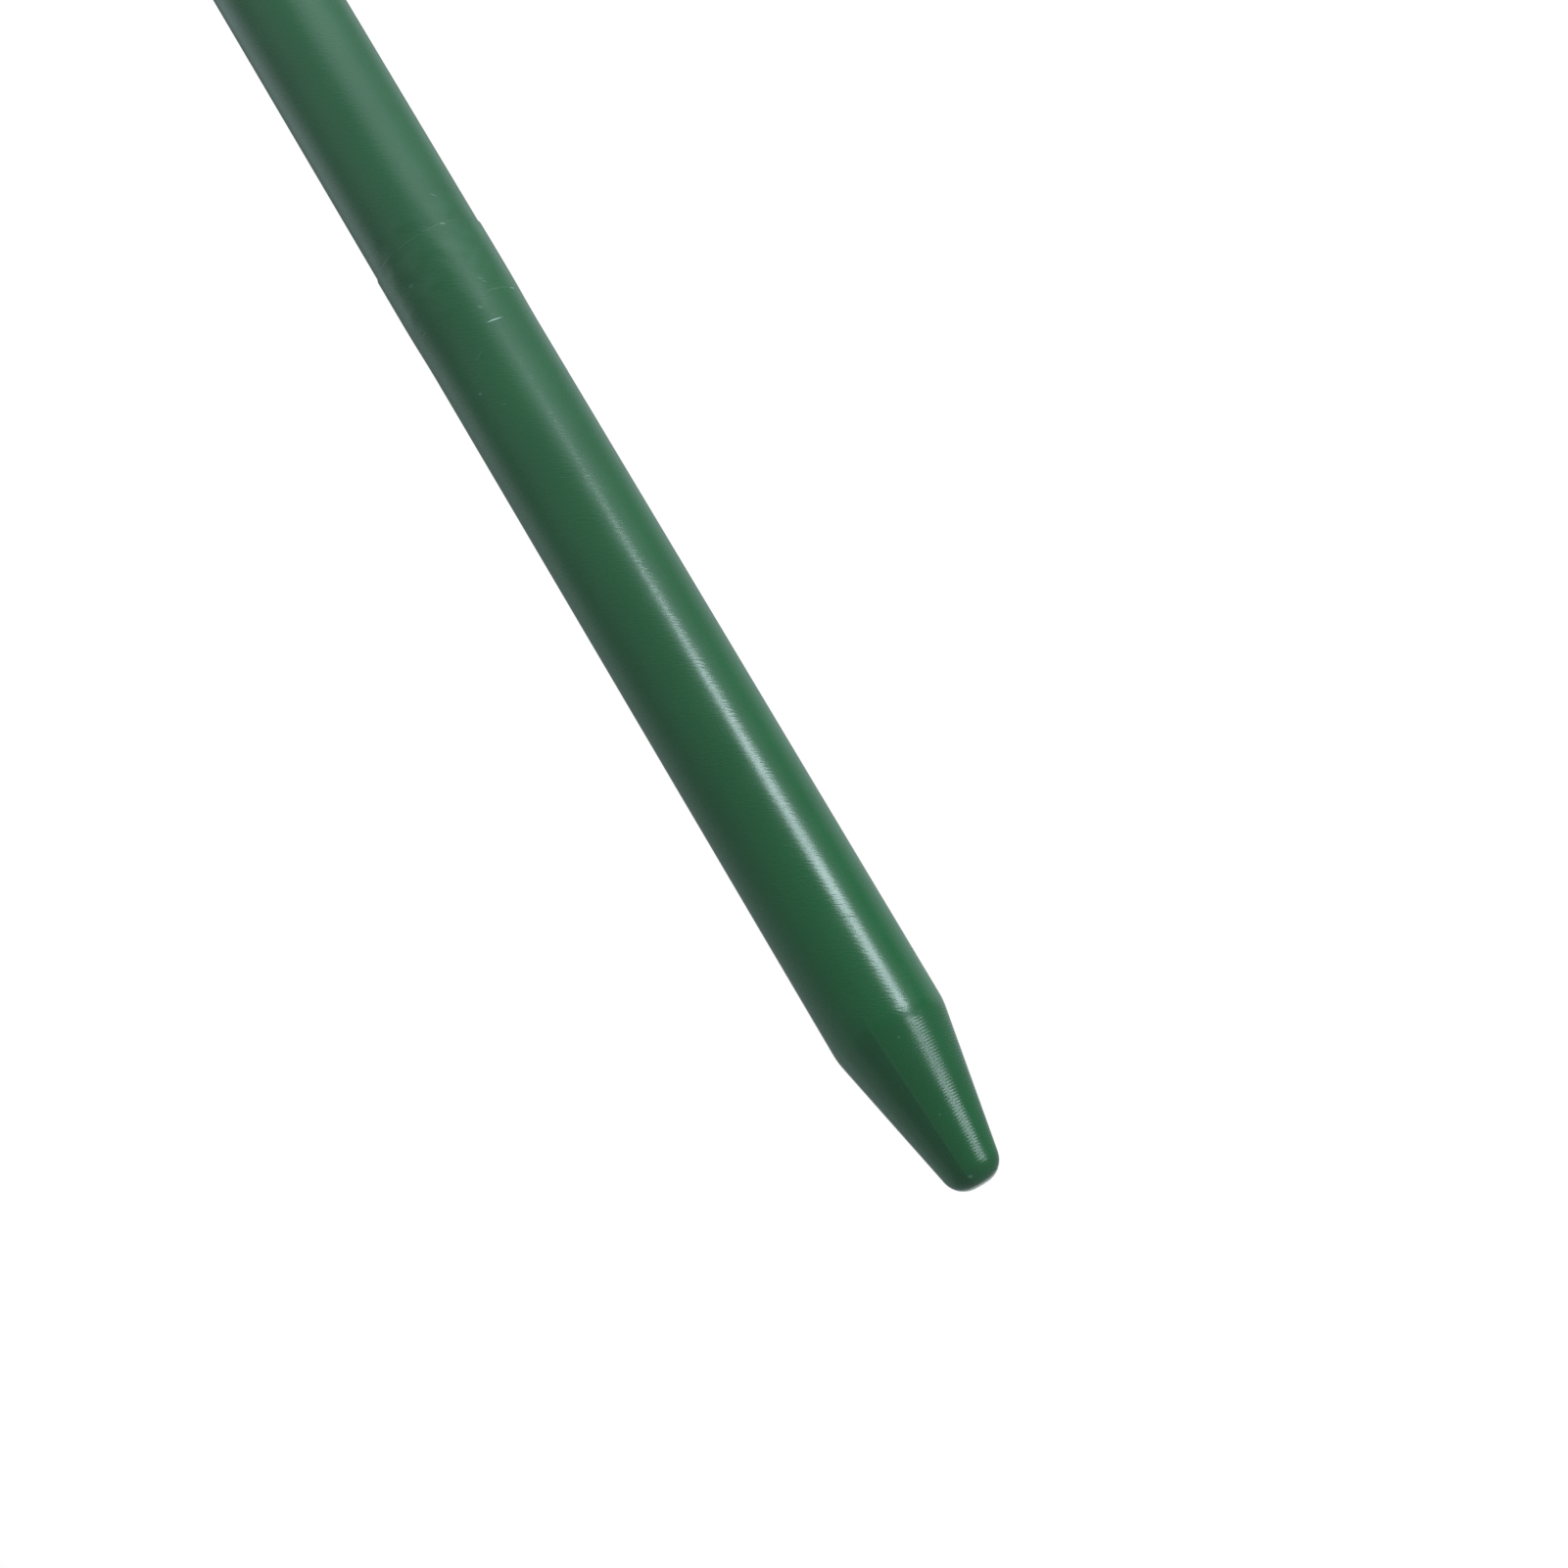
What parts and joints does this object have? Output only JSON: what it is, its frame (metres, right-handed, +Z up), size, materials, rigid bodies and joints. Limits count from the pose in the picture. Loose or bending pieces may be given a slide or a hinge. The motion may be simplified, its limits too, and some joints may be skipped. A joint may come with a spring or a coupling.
{
  "type": "plant stake",
  "caption": "Branch-shaped plant stake of stacked green plastic sections on a steel core, with a blunt conical point and forked side twigs that turn.",
  "frame": {"origin": "on the stem's axis at the soil line, 140 mm above the end of the nose", "axes": "+Z up the stem; +X the way the lowest twig points"},
  "size_m": [0.1526, 0.1526, 0.628],
  "materials": {
    "green_plastic": "satin moulded polypropylene, dark green",
    "core_steel": "zinc-plated steel tube"
  },
  "bodies": {
    "stem": {"core_tube": "core_steel", "point_section": "green_plastic", "plain_section": "green_plastic"},
    "branch_1": {"branch_section_1": "green_plastic"},
    "fork_1": {"twig_1": "green_plastic"},
    "branch_2": {"branch_section_2": "green_plastic"},
    "fork_2": {"twig_2": "green_plastic"},
    "branch_3": {"branch_section_3": "green_plastic"},
    "fork_3": {"twig_3": "green_plastic"},
    "branch_4": {"branch_section_4": "green_plastic"},
    "fork_4": {"twig_4": "green_plastic"},
    "branch_5": {"branch_section_5": "green_plastic"},
    "fork_5": {"twig_5": "green_plastic"},
    "branch_6": {"branch_section_6": "green_plastic"},
    "fork_6": {"twig_6": "green_plastic"},
    "cap": {"top_cap": "green_plastic"}
  },
  "joints": [
    {"name": "branch_turn_1", "type": "hinge", "parent": "stem", "child": "branch_1", "pos_m": [0, 0, 0.0534], "axis": [0, 0, 1], "continuous": true},
    {"name": "twig_turn_1", "type": "hinge", "parent": "branch_1", "child": "fork_1", "pos_m": [0, 0, 0.0534], "axis": [0.7071, 0, 0.7071], "continuous": true},
    {"name": "branch_turn_2", "type": "hinge", "parent": "stem", "child": "branch_2", "pos_m": [0, 0, 0.1235], "axis": [0, 0, 1], "continuous": true},
    {"name": "twig_turn_2", "type": "hinge", "parent": "branch_2", "child": "fork_2", "pos_m": [0, 0, 0.1235], "axis": [0, 0.7071, 0.7071], "continuous": true},
    {"name": "branch_turn_3", "type": "hinge", "parent": "stem", "child": "branch_3", "pos_m": [0, 0, 0.1936], "axis": [0, 0, 1], "continuous": true},
    {"name": "twig_turn_3", "type": "hinge", "parent": "branch_3", "child": "fork_3", "pos_m": [0, 0, 0.1936], "axis": [-0.7071, 0, 0.7071], "continuous": true},
    {"name": "branch_turn_4", "type": "hinge", "parent": "stem", "child": "branch_4", "pos_m": [0, 0, 0.2637], "axis": [0, 0, 1], "continuous": true},
    {"name": "twig_turn_4", "type": "hinge", "parent": "branch_4", "child": "fork_4", "pos_m": [0, 0, 0.2637], "axis": [0, -0.7071, 0.7071], "continuous": true},
    {"name": "branch_turn_5", "type": "hinge", "parent": "stem", "child": "branch_5", "pos_m": [0, 0, 0.3338], "axis": [0, 0, 1], "continuous": true},
    {"name": "twig_turn_5", "type": "hinge", "parent": "branch_5", "child": "fork_5", "pos_m": [0, 0, 0.3338], "axis": [0.7071, 0, 0.7071], "continuous": true},
    {"name": "branch_turn_6", "type": "hinge", "parent": "stem", "child": "branch_6", "pos_m": [0, 0, 0.4039], "axis": [0, 0, 1], "continuous": true},
    {"name": "twig_turn_6", "type": "hinge", "parent": "branch_6", "child": "fork_6", "pos_m": [0, 0, 0.4039], "axis": [0, 0.7071, 0.7071], "continuous": true},
    {"name": "cap_pull", "type": "slide", "parent": "stem", "child": "cap", "axis": [0, 0, 1], "range_m": [0, 0.014]}
  ]
}
